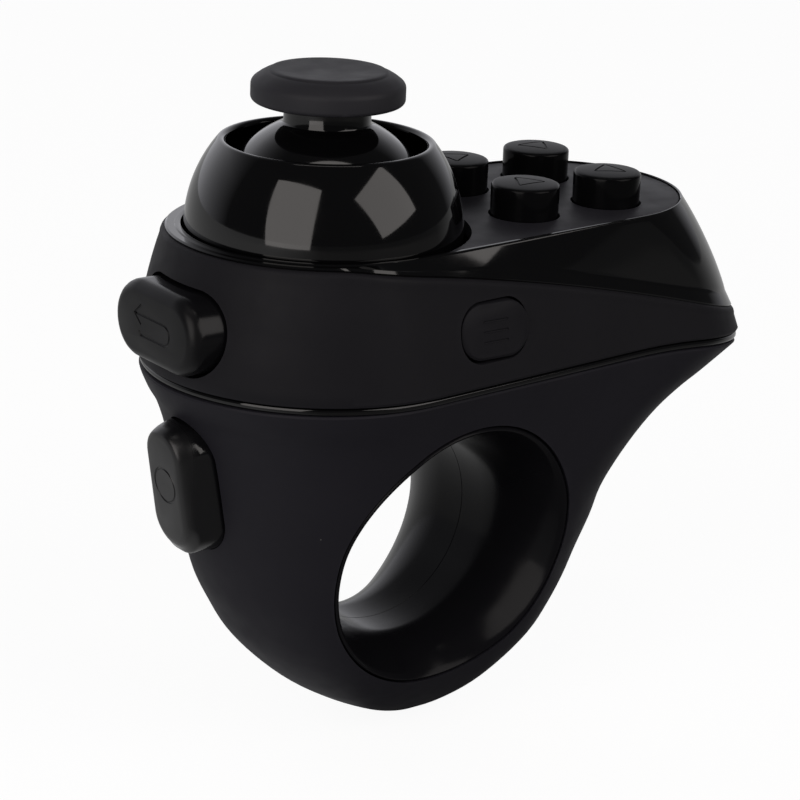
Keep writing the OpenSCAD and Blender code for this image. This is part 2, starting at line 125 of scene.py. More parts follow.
def place(name, bm, body, paint, replaces=(), sharp=32):
    """Turns a bmesh in millimetres into a piece in metres that rides on a body."""
    bmesh.ops.remove_doubles(bm, verts=bm.verts, dist=1e-4)
    bmesh.ops.recalc_face_normals(bm, faces=bm.faces)
    limit = math.radians(sharp)
    for face in bm.faces:
        face.smooth = True
    for edge in bm.edges:
        edge.smooth = len(edge.link_faces) == 2 and edge.calc_face_angle(0) < limit
    bm.transform(Matrix.Scale(MM, 4))
    mesh = bpy.data.meshes.new(name)
    bm.to_mesh(mesh)
    bm.free()
    mesh.materials.append(paint)
    piece = bpy.data.objects.new(name, mesh)
    bpy.context.scene.collection.objects.link(piece)
    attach(piece, body)
    if replaces:
        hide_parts(*replaces)
    return piece


def loft(rings, closed=False):
    """A bmesh through rings of equally many points.

    Its ends are flat. With closed, the last ring is joined to the first instead.
    """
    bm = bmesh.new()
    rows = [[bm.verts.new(point) for point in ring] for ring in rings]
    pairs = list(zip(rows, rows[1:]))
    if closed:
        pairs.append((rows[-1], rows[0]))
    for one, two in pairs:
        for j in range(len(one)):
            k = (j + 1) % len(one)
            bm.faces.new((one[j], one[k], two[k], two[j]))
    if not closed:
        bm.faces.new(rows[0][::-1])
        bm.faces.new(rows[-1])
    bmesh.ops.recalc_face_normals(bm, faces=bm.faces)
    return bm


def lathe(profile, centre=(0, 0, 0), steps=144, closed=True):
    """A profile of (radius, height) turned about a vertical axis through centre."""
    angles = [2 * math.pi * i / steps for i in range(steps)]
    rings = [[(centre[0] + r * math.cos(a), centre[1] + r * math.sin(a), centre[2] + z) for a in angles]
             for r, z in profile]
    return loft(rings, closed)


def arc(cx, cz, r, start, end, count):
    """Points on an arc, with angles in degrees."""
    angles = [math.radians(start + (end - start) * i / count) for i in range(count + 1)]
    return [(cx + r * math.cos(a), cz + r * math.sin(a)) for a in angles]


def smooth_rows(rows, steps):
    """More rows between the given ones, on a Catmull-Rom curve through them."""
    rows = np.array(rows, float)
    out = []
    for i in range(len(rows) - 1):
        before, after = rows[max(i - 1, 0)], rows[min(i + 2, len(rows) - 1)]
        a, b = rows[i], rows[i + 1]
        ta, tb = (b - before) / 2, (after - a) / 2
        for t in np.linspace(0, 1, steps, endpoint=False):
            out.append((2 * t**3 - 3 * t**2 + 1) * a + (t**3 - 2 * t**2 + t) * ta
                       + (3 * t**2 - 2 * t**3) * b + (t**3 - t**2) * tb)
    out.append(rows[-1])
    return out


def as_object(bm):
    mesh = bpy.data.meshes.new("scratch")
    bm.to_mesh(mesh)
    bm.free()
    obj = bpy.data.objects.new("scratch", mesh)
    bpy.context.scene.collection.objects.link(obj)
    return obj


def cut(bm, *tools):
    """Takes each tool away from a solid. All are bmeshes in millimetres."""
    solid = as_object(bm)
    for tool in tools:
        cutter = as_object(tool)
        step = solid.modifiers.new("cut", "BOOLEAN")
        step.operation, step.solver, step.object = "DIFFERENCE", "EXACT", cutter
        graph = bpy.context.evaluated_depsgraph_get()
        made = bpy.data.meshes.new_from_object(solid.evaluated_get(graph))
        solid.modifiers.clear()
        solid.data = made
        bpy.data.objects.remove(cutter)
    out = bmesh.new()
    out.from_mesh(solid.data)
    bpy.data.objects.remove(solid)
    return out


def groove(paths, width, to_world):
    """Round-bottomed grooves along flat paths: one tube per path, placed by to_world(u, v)."""
    curve = bpy.data.curves.new("scratch", "CURVE")
    curve.dimensions = "3D"
    curve.bevel_depth = width / 2
    curve.bevel_resolution = 3
    curve.use_fill_caps = True
    for points, cyclic in paths:
        spline = curve.splines.new("POLY")
        spline.points.add(len(points) - 1)
        for target, (u, v) in zip(spline.points, points):
            target.co = (*to_world(u, v), 1)
        spline.use_cyclic_u = cyclic
    obj = bpy.data.objects.new("scratch", curve)
    bpy.context.scene.collection.objects.link(obj)
    graph = bpy.context.evaluated_depsgraph_get()
    mesh = bpy.data.meshes.new_from_object(obj.evaluated_get(graph))
    bpy.data.objects.remove(obj)
    bm = bmesh.new()
    bm.from_mesh(mesh)
    bmesh.ops.remove_doubles(bm, verts=bm.verts, dist=1e-5)
    return bm


# ---- outlines ----

N_TAIL, N_SIDE, N_NOSE = 44, 14, 60


def outline(front_x, front_r, tail_x, tail_r):
    """Outline of two circles on the X axis joined by their tangents, anticlockwise from the tail."""
    angle = math.degrees(math.acos((front_r - tail_r) / (tail_x - front_x)))
    tail = arc(tail_x, 0, tail_r, -angle, angle, N_TAIL)
    nose = arc(front_x, 0, front_r, angle, 360 - angle, N_NOSE)

    def between(p, q):
        return [(p[0] + (q[0] - p[0]) * i / N_SIDE, p[1] + (q[1] - p[1]) * i / N_SIDE)
                for i in range(1, N_SIDE)]
    return tail + between(tail[-1], nose[0]) + nose + between(nose[-1], tail[0])


def stick_outline(front_r, tail, inset=0):
    """An outline whose nose circle is centred on the stick's axis."""
    return outline(STICK_X, front_r - inset, tail[0], tail[1] - inset)


def smoothstep(x, start, end):
    t = min(1, max(0, (x - start) / (end - start)))
    return t * t * (3 - 2 * t)


def waist_z(x):
    return WAIST_Z - WAIST_DROOP * (max(0, x - DROOP_FROM) / (TAIL_X - DROOP_FROM)) ** 2


def band_z(x):
    """Top edge of the matt band: level round the collar, then falling to the tail."""
    fall = BAND_TOP - 0.4 - 0.15 * (x + 12) - 0.0016 * (x + 12) ** 2
    return 0.5 * (BAND_TOP + fall - math.sqrt((BAND_TOP - fall) ** 2 + 0.02))


def at_height(points, z):
    return [(x, y, z) for x, y in points]


def at_waist(points, up):
    return [(x, y, waist_z(x) + up) for x, y in points]


def at_band(points, up):
    return [(x, y, band_z(x) + up) for x, y in points]


CORNER_STEPS = 12


def rounded(half_u, half_v, r):
    """A rounded rectangle about the origin, anticlockwise."""
    points = []
    for i, (su, sv) in enumerate(((1, 1), (-1, 1), (-1, -1), (1, -1))):
        points += arc(su * (half_u - r), sv * (half_v - r), r, 90 * i, 90 * i + 90, CORNER_STEPS)
    return points


def prism_x(half_y, half_z, r, x0, x1, centre_z):
    return loft([[(x, y, centre_z + z) for y, z in rounded(half_y, half_z, r)] for x in (x0, x1)])


def prism_y(half_x, half_z, r, y0, y1, centre_x, centre_z):
    return loft([[(centre_x + x, y, centre_z + z) for x, z in rounded(half_x, half_z, r)] for y in (y0, y1)])


# ---- materials ----

def new_material(name):
    paint = bpy.data.materials.new(name)
    paint.use_nodes = True
    tree = paint.node_tree
    return paint, tree, tree.nodes["Principled BSDF"]


def noise(tree, size_mm, detail=2, roughness=0.5):
    """Noise with features of about size_mm, in the object's own coordinates."""
    place_node = tree.nodes.new("ShaderNodeTexCoord")
    node = tree.nodes.new("ShaderNodeTexNoise")
    node.inputs["Scale"].default_value = 1 / (size_mm * MM)
    node.inputs["Detail"].default_value = detail
    node.inputs["Roughness"].default_value = roughness
    tree.links.new(place_node.outputs["Object"], node.inputs["Vector"])
    return node.outputs["Fac"]


def ranged(tree, value, low_in, high_in, low_out, high_out):
    node = tree.nodes.new("ShaderNodeMapRange")
    node.inputs["From Min"].default_value = low_in
    node.inputs["From Max"].default_value = high_in
    node.inputs["To Min"].default_value = low_out
    node.inputs["To Max"].default_value = high_out
    tree.links.new(value, node.inputs["Value"])
    return node.outputs["Result"]


def mixed(tree, factor, one, two):
    """A colour between two: each is a colour or a socket."""
    node = tree.nodes.new("ShaderNodeMix")
    node.data_type = "RGBA"
    tree.links.new(factor, node.inputs["Factor"])
    for socket, value in ((node.inputs["A"], one), (node.inputs["B"], two)):
        if isinstance(value, tuple):
            socket.default_value = (*value, 1)
        else:
            tree.links.new(value, socket)
    return node.outputs["Result"]


def bump(tree, shader, layers):
    """Bump from (height socket, depth in mm, strength) layers, one on top of another."""
    previous = None
    for height, depth, strength in layers:
        node = tree.nodes.new("ShaderNodeBump")
        node.inputs["Distance"].default_value = depth * MM
        node.inputs["Strength"].default_value = strength
        tree.links.new(height, node.inputs["Height"])
        if previous:
            tree.links.new(previous, node.inputs["Normal"])
        previous = node.outputs["Normal"]
    tree.links.new(previous, shader.inputs["Normal"])


def dust(tree, spacing_mm, dot_mm, share):
    """1 on a few tiny specks, 0 elsewhere."""
    place_node = tree.nodes.new("ShaderNodeTexCoord")
    cells = tree.nodes.new("ShaderNodeTexVoronoi")
    cells.inputs["Scale"].default_value = 1 / (spacing_mm * MM)
    tree.links.new(place_node.outputs["Object"], cells.inputs["Vector"])
    dot = ranged(tree, cells.outputs["Distance"], dot_mm / spacing_mm, 0.6 * dot_mm / spacing_mm, 0, 1)
    split = tree.nodes.new("ShaderNodeSeparateColor")
    tree.links.new(cells.outputs["Color"], split.inputs["Color"])
    chosen = ranged(tree, split.outputs["Red"], 1 - share, 1 - share + 0.01, 0, 1)
    both = tree.nodes.new("ShaderNodeMath")
    both.operation = "MULTIPLY"
    tree.links.new(dot, both.inputs[0])
    tree.links.new(chosen, both.inputs[1])
    return both.outputs["Value"]


def edge_wear(tree):
    """Rises on sharp outer edges."""
    geometry = tree.nodes.new("ShaderNodeNewGeometry")
    return ranged(tree, geometry.outputs["Pointiness"], 0.53, 0.62, 0, 1)


def moulded(name, dark, light, rough, grain_mm, grain_depth, specks=0.0, wear=0.0, shine=0.5, flank=None):
    """Moulded plastic: colour drift, fine grain, worn edges and a little dust.

    shine is the specular level. flank is (axis, from, to, roughness): past the second place, in millimetres
    along the axis, the surface has that roughness.
    """
    paint, tree, shader = new_material(name)
    colour = mixed(tree, noise(tree, 6, 4), dark, light)
    if wear:
        worn = tuple(min(1, c * 2.2 + 0.004) for c in light)
        weight = ranged(tree, edge_wear(tree), 0, 1, 0, wear)
        colour = mixed(tree, weight, colour, worn)
    if specks:
        colour = mixed(tree, dust(tree, 3.1, 0.07, specks), colour, (0.16, 0.16, 0.15))
    tree.links.new(colour, shader.inputs["Base Color"])
    roughness = ranged(tree, noise(tree, 2.5, 5), 0.3, 0.7, rough[0], rough[1])
    if flank:
        axis, start, end, other_roughness = flank
        coords = tree.nodes.new("ShaderNodeTexCoord")
        split = tree.nodes.new("ShaderNodeSeparateXYZ")
        tree.links.new(coords.outputs["Object"], split.inputs["Vector"])
        side = ranged(tree, split.outputs[axis], start * MM, end * MM, 0, 1)
        blend = tree.nodes.new("ShaderNodeMix")
        tree.links.new(side, blend.inputs["Factor"])
        tree.links.new(roughness, blend.inputs["A"])
        blend.inputs["B"].default_value = other_roughness
        roughness = blend.outputs["Result"]
    tree.links.new(roughness, shader.inputs["Roughness"])
    bump(tree, shader, [(noise(tree, 9, 2), 0.02, 0.35), (noise(tree, grain_mm, 3), grain_depth, 0.6)])
    shader.inputs["Specular IOR Level"].default_value = shine
    return paint


def metal(name, colour, rough, streak_mm):
    """Plated or brushed metal with fine streaks."""
    paint, tree, shader = new_material(name)
    shader.inputs["Metallic"].default_value = 1
    darker = tuple(c * 0.82 for c in colour)
    tree.links.new(mixed(tree, noise(tree, streak_mm, 5, 0.7), darker, colour), shader.inputs["Base Color"])
    tree.links.new(ranged(tree, noise(tree, streak_mm / 3, 4), 0.3, 0.7, rough - 0.07, rough + 0.1),
                   shader.inputs["Roughness"])
    bump(tree, shader, [(noise(tree, streak_mm / 4, 4), 0.01, 0.5)])
    return paint


def circuit(name):
    """Green solder mask with slightly raised copper tracks under it."""
    paint, tree, shader = new_material(name)
    place_node = tree.nodes.new("ShaderNodeTexCoord")
    tracks = tree.nodes.new("ShaderNodeTexBrick")
    tracks.inputs["Scale"].default_value = 1 / (9 * MM)
    tracks.inputs["Mortar Size"].default_value = 0.015
    tree.links.new(place_node.outputs["Object"], tracks.inputs["Vector"])
    tree.links.new(mixed(tree, tracks.outputs["Fac"], (0.008, 0.06, 0.022), (0.02, 0.14, 0.05)),
                   shader.inputs["Base Color"])
    tree.links.new(ranged(tree, noise(tree, 1.5, 3), 0.3, 0.7, 0.25, 0.4), shader.inputs["Roughness"])
    bump(tree, shader, [(tracks.outputs["Fac"], 0.03, 0.6)])
    return paint


def clear_pipe(name):
    """Frosted light pipe."""
    paint, tree, shader = new_material(name)
    tree.links.new(mixed(tree, noise(tree, 0.6, 3), (0.62, 0.68, 0.72), (0.8, 0.85, 0.88)),
                   shader.inputs["Base Color"])
    tree.links.new(ranged(tree, noise(tree, 0.3, 3), 0.3, 0.7, 0.25, 0.45), shader.inputs["Roughness"])
    shader.inputs["Transmission Weight"].default_value = 0.6
    return paint


# The lower shell and the band are one soft-touch plastic in two shades. The lower shell's copy is painted
# lighter, standing in for light that its sideways and downward faces lack.
SHELL_MATT_PAINTED_LIGHTER = moulded("soft_touch_matt_painted_lighter", (0.0162, 0.0156, 0.0205), (0.0194, 0.0187, 0.0243), (0.5, 0.6),
               0.09, 0.006, specks=0.05, wear=0.25, shine=0.12)
BAND_MATT = moulded("band_matt", (0.0115, 0.0112, 0.0138), (0.014, 0.0136, 0.0166), (0.5, 0.6),
                    0.09, 0.006, specks=0.05, wear=0.25, shine=0.12)
DECK = moulded("deck_matt", (0.0172, 0.0168, 0.0215), (0.0208, 0.0203, 0.0255), (0.48, 0.58),
               0.08, 0.006, specks=0.04, wear=0.3, shine=0.2)
GLOSS = moulded("piano_gloss", (0.0018, 0.0018, 0.0021), (0.0028, 0.0028, 0.0031), (0.045, 0.085),
                1.2, 0.0012, specks=0.03, wear=0.2)
LINER = moulded("liner_gloss", (0.006, 0.0059, 0.0072), (0.0078, 0.0077, 0.0092), (0.15, 0.22),
                0.9, 0.0016, specks=0.03, wear=0.2, shine=0.1)
# The action buttons' tops are matt and their sides gloss
BUTTON_TOP = high("action_button_front_near").z
KEY = moulded("key_gloss", (0.0028, 0.0028, 0.0033), (0.0042, 0.0042, 0.0048), (0.1, 0.17),
              0.3, 0.0016, specks=0.03, wear=0.3, shine=0.08,
              flank=("Z", BUTTON_TOP - 0.36, BUTTON_TOP - 0.2, 0.42))
NOSE_KEY = moulded("nose_key", (0.004, 0.004, 0.0048), (0.006, 0.006, 0.007), (0.3, 0.4),
                   0.12, 0.003, specks=0.03, wear=0.3, shine=0.2,
                   flank=("X", BACK_FACE + 0.9, BACK_FACE + 1.3, 0.16))
TRIGGER_KEY = moulded("trigger_gloss", (0.004, 0.004, 0.0048), (0.006, 0.006, 0.007), (0.28, 0.36),
                      0.12, 0.003, specks=0.03, wear=0.3, flank=("X", -24.9, -24.2, 0.1))
RUBBER = moulded("cap_rubber", (0.021, 0.0206, 0.025), (0.027, 0.0265, 0.0315), (0.52, 0.62),
                 0.07, 0.008, specks=0.04, wear=0.3, shine=0.26)
NYLON = moulded("nylon", (0.6, 0.58, 0.52), (0.72, 0.7, 0.64), (0.35, 0.5), 0.2, 0.01)
DARK_NYLON = moulded("dark_nylon", (0.03, 0.03, 0.03), (0.05, 0.05, 0.05), (0.4, 0.55), 0.2, 0.01)
CHIP = moulded("chip_package", (0.012, 0.012, 0.012), (0.02, 0.02, 0.02), (0.5, 0.6), 0.05, 0.006)
HOUSING = moulded("plug_housing", (0.62, 0.58, 0.45), (0.75, 0.72, 0.6), (0.4, 0.5), 0.2, 0.008)
STEEL = metal("plated_steel", (0.56, 0.56, 0.58), 0.25, 0.6)
FOIL = metal("battery_foil", (0.52, 0.54, 0.58), 0.4, 2.0)
BOARD = circuit("circuit_board")
PIPE = clear_pipe("light_pipe")


# ---- shells ----

# Down the lower shell: drop below the waist, front x, tail x, front radius, tail radius
STATIONS = [
    (39.7, 0.5, 5.5, 1.4, 1.4), (38.5, -2.5, 8, 4.4, 4.4), (36.5, -6.5, 12, 6.8, 6.8),
    (34, -10.5, 15.2, 8.8, 8.8), (31, -14, 18.4, 10.3, 10.3), (28, -16.7, 20.3, 11.4, 11.4),
    (25, -18.5, 21.8, 12.2, 12.2), (22, -20, 23, 12.8, 12.8), (18.5, -21, 24.6, 13.5, 13.4),
    (15.5, -21.5, 25.7, 14, 13.8), (12.5, -22, 27.7, 14.6, 14.2), (9.5, -22.5, 30.3, 15.2, 14.5),
    (7, -23, 33, 15.7, 14.7), (5, -23.6, 35.8, 16.1, 14.8), (3.5, -24.2, 38.2, 16.5, 14.9),
    (2.2, -25, 40.1, 16.9, 15), (0.9, -25.6, 41.9, 17.3, 15.1), (0.3, -25.8, 42.7, 17.5, 15.1)]


def station_ring(row, inset=0.0):
    drop, front, tail, front_r, tail_r = row
    points = outline(front + front_r, front_r - inset, tail - tail_r, tail_r - inset)
    return at_waist(points, -drop)


def lower_skin():
    return [station_ring(row) for row in smooth_rows(STATIONS, 4)]


def lower_shell():
    """The ring and the shoulders under the waist, hollow above the finger hole."""
    top = STATIONS[-1]
    rings = lower_skin()
    rings += [station_ring((up, *top[1:]), inset) for up, inset in ((0.1, 0.08), (0.01, 0.3))]
    rings.append(at_waist(outline(-8.2, 17.4 - WALL, 20.4, 12.6), 0))
    rings.append(at_height(outline(-8.2, 17 - WALL, 20.2, 12.4), CAVITY_FLOOR))
    hole = loft([[(MOUTH[0] + x, y, MOUTH[1] + MOUTH_TALL * z)
                  for x, z in arc(0, 0, MOUTH_R + 0.14, 0, 357.5, 143)] for y in (-25, 25)])
    pocket = prism_x(3.85, 6.95, 3.75, -30, -17, TRIGGER_Z)
    shell = cut(loft(rings), hole, pocket)
    place("lower_shell_skin", shell, "root", SHELL_MATT_PAINTED_LIGHTER, ["lower_shell"])


def waist_bead():
    """A half-round gloss strip in the groove between the two shells."""
    section = [(-1.2, 0.02), (0.0, 0.02)] + [(0.34 * math.cos(a), 0.4 + 0.38 * math.sin(a))
               for a in np.radians(np.linspace(-80, 80, 9))] + [(0.0, 0.79), (-1.2, 0.79)]
    rings = [at_waist(stick_outline(17.47, (27.75, 14.75), -out), up) for out, up in section]
    place("waist_bead", loft(rings, closed=True), "root", GLOSS, ["waist_trim"], sharp=60)


BAND_NOSE = 0.5  # how much further forward the nose stands at half height than a straight side would


def band():
    """The matt band with its pockets for the buttons, the slider and the socket."""
    def flank(v):
        """Outline at a share v of the way from foot to head."""
        tail = tuple(a + (b - a) * v for a, b in zip(FOOT_TAIL, HEAD_TAIL))
        return FOOT_R + (HEAD_R - FOOT_R) * v, tail

    rings = [at_waist(stick_outline(*flank(0), inset), BEAD_GAP + up)
             for inset, up in ((WALL, 0), (0.4, 0), (0.12, 0.09), (0, 0.34))]
    foot, head = rings[-1], at_band(stick_outline(*flank(1)), -0.8)
    for v in np.linspace(0, 1, 13)[1:]:
        fuller = Vector((-BAND_NOSE * 4 * v * (1 - v), 0, 0))
        between = [Vector(p).lerp(Vector(q), v) for p, q in zip(foot, head)]
        rings.append([tuple(p + fuller if p.x < STICK_X else p) for p in between])
    rings += [at_band(stick_outline(*flank(1), inset), up)
              for inset, up in ((0.03, -0.5), (0.13, -0.24), (0.3, -0.07), (0.55, 0), (WALL, 0))]
    pockets = [prism_x(7.4, 4.2, 4.1, -32, -18, BACK.z),
               prism_y(4.36, 2.97, 2.72, -20, -13, MENU.x, MENU.z),
               prism_y(3.6, 1.75, 1.7, 13, 20, SLIDER.x + 1.25, SLIDER.z),
               prism_y(4.1, 1.65, 0.8, 12, 20, SOCKET.x, SOCKET.z),
               loft([[(LIGHT.x + x, y, LIGHT.z + z) for x, z in arc(0, 0, 0.86, 0, 350, 35)]
                     for y in (12, 20)])]
    shell = cut(loft(rings, closed=True), *pockets)
    place("band_skin", shell, "root", BAND_MATT, ["upper_shell"])


CREASE_TAIL = (28, 13.4)


def crease_z(x):
    """Height of the fold between the trim's sloping ledge and its wall."""
    return min(DECK_Z - 0.1, band_z(x) + 0.45 + 0.7 * smoothstep(x, -10, 4) + 0.35 * smoothstep(x, 24, 40))


def top_trim():
    """Gloss trim: a thin rim round the collar that grows into a tall wedge at the tail."""
    def ring(front_r, tail, height):
        return [(x, y, height(x)) for x, y in stick_outline(front_r, tail)]

    def ledge(share):
        """Rings on the sloping ledge between the band's edge and the crease."""
        tail = tuple(a + (b - a) * share for a, b in zip((28.25, 14.0), CREASE_TAIL))
        return ring(15.5 - 0.2 * share, tail,
                    lambda x: band_z(x) + 0.18 + (crease_z(x) - band_z(x) - 0.18) * share)

    def wall(t):
        """Rings on the wall from the crease up to the deck's edge."""
        tail = tuple(a + (b - a) * t ** 1.12 for a, b in zip(CREASE_TAIL, DECK_TAIL))
        return ring(15.25 - 0.65 * t, tail, lambda x: crease_z(x) + (DECK_Z - 0.1 - crease_z(x)) * t)

    def skirt(x):
        return min(band_z(x) - 0.4, DECK_Z - 1.6)

    def inside(shift):
        return DECK_TAIL[0], DECK_TAIL[1] - shift

    rings = [ring(15.35, (28, 13.9), lambda x: band_z(x) - 0.3),
             ring(15.45, (28.2, 13.98), lambda x: band_z(x) + 0.05)]
    rings += [ledge(share) for share in np.linspace(0, 1, 6)]
    rings += [wall(t) for t in np.linspace(0.05, 1, 16)]
    rings += [ring(14.5, inside(0.06), lambda x: DECK_Z + 0.02),
              ring(14.2, inside(0.16), lambda x: DECK_Z + 0.04),
              ring(RIM_IN, inside(0.25), lambda x: DECK_Z - 0.04),
              ring(RIM_IN, inside(0.25), lambda x: DECK_Z - 0.6),
              ring(RIM_IN, inside(0.3), skirt),
              ring(14.4, (26.2, 12.3), lambda x: skirt(x) - 0.05)]
    place("top_trim_wedge", loft(rings, closed=True), "root", GLOSS, ["top_trim"], sharp=26)


def deck():
    """Matt deck, open round the collar and at each button."""
    top = DECK_Z - 0.12
    rings = [at_height(stick_outline(14.25, (DECK_TAIL[0], DECK_TAIL[1] - 0.35), inset), z)
             for inset, z in ((0, DECK_Z - 1.5), (0, top - 0.12), (0.04, top - 0.03), (0.14, top))]
    plate = loft(rings)
    tools = [lathe([(14.45, DECK_Z - 3), (14.45, DECK_Z + 2)], (STICK_X, 0, 0), closed=False),
             prism_x(20, 5, 1, -40, -3.5, DECK_Z)]
    for node in ACTION_NODES:
        spot = middle(node)
        tools.append(lathe([(3.62, DECK_Z - 3), (3.62, DECK_Z + 2)], (spot.x, spot.y, 0), 72, closed=False))
    place("deck_skin", cut(plate, *tools), "root", DECK, ["deck_plate"])


def liner_half(name, node, side):
    """One half of the gloss liner: throat, flare and a rolled lip that follows the shell's flank."""
    skin = loft(lower_skin())
    tree = BVHTree.FromBMesh(skin)
    skin.free()
    count = 180
    angles = [2 * math.pi * i / count for i in range(count)]
    flank = []
    for a in angles:
        start = Vector((MOUTH[0] + MOUTH_R * math.cos(a), side * 40,
                        MOUTH[1] + MOUTH_R * MOUTH_TALL * math.sin(a)))
        flank.append(abs(tree.ray_cast(start, Vector((0, -side, 0)))[0].y))

    def ring(share, radius, depth):
        """Points at a radius, at a depth below the flank; share moves the centre to the mouth's."""
        out = []
        for a, reach in zip(angles, flank):
            y = depth(reach)
            r = radius(reach)
            tall = 1 + (MOUTH_TALL - 1) * share
            out.append((MOUTH[0] * share + r * math.cos(a), side * y,
                        MOUTH[1] * share + r * tall * math.sin(a)))
        return out

    rings = [ring(0, lambda f: THROAT_R + 0.06, lambda f: 0.008), ring(0, lambda f: THROAT_R, lambda f: 0.05)]
    rings += [ring(0, lambda f: THROAT_R, lambda f, y=y: y) for y in (1.2, 2.4, THROAT_HALF)]
    lip = 0.45
    for u in np.linspace(0, 1, 19)[1:]:
        rings.append(ring(u * u, lambda f, u=u: THROAT_R + (MOUTH_R - lip - THROAT_R) * u ** 1.9,
                          lambda f, u=u: THROAT_HALF + (f - 0.12 - THROAT_HALF) * u))
    for a in (65, 40, 15, 0):
        out, down = math.cos(math.radians(a)), math.sin(math.radians(a))
        rings.append(ring(1, lambda f, out=out: MOUTH_R - lip + lip * out,
                          lambda f, down=down: f + 0.04 - 0.4 + 0.4 * down))
    rings.append(ring(1, lambda f: MOUTH_R, lambda f: f - 1.5))
    rings.append(ring(1, lambda f: MOUTH_R, lambda f: 0.01))
    place(name, loft(rings, closed=True), "root", LINER, [node], sharp=50)


# ---- thumb stick ----

def collar():
    """Fixed gloss collar: part of a sphere with a rolled lip."""
    roll = 0.45
    lip_mid = LIP_R + roll
    lip_z = math.sqrt((COLLAR_R - roll) ** 2 - lip_mid ** 2)
    outer_angle = math.degrees(math.atan2(lip_z, lip_mid))
    inner_z = math.sqrt(COLLAR_IN ** 2 - LIP_R ** 2)
    inner_angle = math.degrees(math.asin(inner_z / COLLAR_IN))
    profile = [(COLLAR_IN, -2.8), (COLLAR_R, -2.8)]
    profile += arc(0, 0, COLLAR_R, 0, outer_angle, 40)
    profile += arc(lip_mid, lip_z, roll, outer_angle, 180, 10)[1:]
    profile += arc(0, 0, COLLAR_IN, inner_angle, 0, 20)
    place("collar_shell", lathe(profile, pivot, 192), "root", GLOSS, ["stick_collar"])


def dome():
    """The dome that tilts with the stick, and its neck."""
    rim = 0.95
    rim_out = math.degrees(math.asin(rim / DOME_R))
    rim_in = math.degrees(math.asin(rim / DOME_IN))
    neck_z = math.sqrt(DOME_R ** 2 - (NECK_R + 0.2) ** 2)
    neck_angle = math.degrees(math.asin(neck_z / DOME_R))
    bore = 1.93
    bore_angle = math.degrees(math.acos(bore / DOME_IN))
    profile = arc(0, 0, DOME_R, rim_out, neck_angle, 40)
    profile += [(NECK_R + 0.06, neck_z + 0.12), (NECK_R, neck_z + 0.3), (NECK_R, 12.2), (bore, 12.2)]
    profile += arc(0, 0, DOME_IN, bore_angle, rim_in, 20)
    place("dome_shell", lathe(profile, pivot, 192), "stick", GLOSS, ["stick_dome"])


def cap():
    """Rubber cap: a flat pad inside a fine crease, a sloping shoulder and an upright edge."""
    profile = [(1.95, 13.35), (1.95, 12.2), (4.25, 12.2), (4.4, 12.24), (4.55, 12.4),
               (4.75, 12.48), (5.2, 12.5)]
    profile += arc(7.02, 13.05, 0.48, -90, 0, 6)
    profile += arc(6.7, 14.1, 0.8, 0, 50, 6)
    profile += [(6.75, 15.06), (6.3, 15.32), (6.0, 15.45), (5.86, 15.48), (5.8, 15.5), (5.74, 15.58),
                (5.62, 15.66), (5.4, 15.7), (5.0, 15.69), (4, 15.62), (2, 15.52), (0.4, 15.49)]
    bm = lathe(profile, pivot, 160, closed=False)
    place("cap_pad", bm, "stick", RUBBER, ["thumb_cap"], sharp=45)


# ---- buttons ----

ACTION_NODES = ["action_button_front_near", "action_button_front_far",
                "action_button_rear_near", "action_button_rear_far"]


def action_button(node, facing):
    """A round button with a soft domed top and an engraved triangle that points at facing degrees."""
    spot, top, bottom = middle(node), high(node).z, low(node).z
    profile = [(1.4, bottom), (1.4, bottom + 0.7), (4.1, bottom + 0.7), (4.1, bottom + 1.35),
               (3.42, bottom + 1.45), (3.45, top - 1.2), (3.45, top - 0.52), (3.43, top - 0.41),
               (3.37, top - 0.32), (3.27, top - 0.25), (3.12, top - 0.2), (2.9, top - 0.16),
               (2.2, top - 0.08), (1.5, top - 0.035), (0.8, top - 0.009), (0.2, top)]
    button = lathe(profile, (spot.x, spot.y, 0), 96, closed=False)

    def on_top(u, v):
        a = math.radians(facing)
        x, y = u * math.cos(a) - v * math.sin(a), u * math.sin(a) + v * math.cos(a)
        return spot.x + x, spot.y + y, top - 0.02 - 0.0145 * (u * u + v * v)
    corners = [(1.75, 0), (-1.05, 1.7), (-1.05, -1.7)]
    path = []
    for one, two in zip(corners, corners[1:] + corners[:1]):
        path += [(one[0] + (two[0] - one[0]) * t, one[1] + (two[1] - one[1]) * t)
                 for t in (0.06, 0.35, 0.65, 0.94)]
    button = cut(button, groove([(path, True)], 0.26, on_top))
    place(node + "_key", button, node, KEY, [node], sharp=30)


def back_button():
    """Wide stadium key on the nose with a rounded shoulder and an engraved return arrow."""
    face, half_y, half_z = BACK_FACE, 7.1, 3.9
    profile = [(-20.3, -0.6), (-20.9, -0.6), (-20.95, 0), (face + 1.5, 0), (face + 1.15, 0.02),
               (face + 0.8, 0.12), (face + 0.45, 0.32), (face + 0.2, 0.58), (face + 0.06, 0.86), (face, 1.15)]
    rings = [[(x, y, BACK.z + z) for y, z in rounded(half_y - inset, half_z - inset, half_z - inset - 0.02)]
             for x, inset in profile]

    def on_face(u, v):
        """u runs towards the viewer's right, which is -Y, and v up."""
        return face - 0.03, -u, BACK.z + v
    bend = arc(2.1, -0.15, 1.0, 90, -90, 10)
    arrow = [([(-2.9, 0.85)] + bend + [(-2.0, -1.15)], False),
             ([(-1.9, 1.85), (-3.1, 0.85), (-1.9, -0.1)], False),
             ([(-2.0, -1.15), (-2.25, -0.75)], False)]
    key = cut(loft(rings), *[groove([path], 0.27, on_face) for path in arrow])
    place("back_button_key", key, "back_button", NOSE_KEY, ["back_button"], sharp=30)


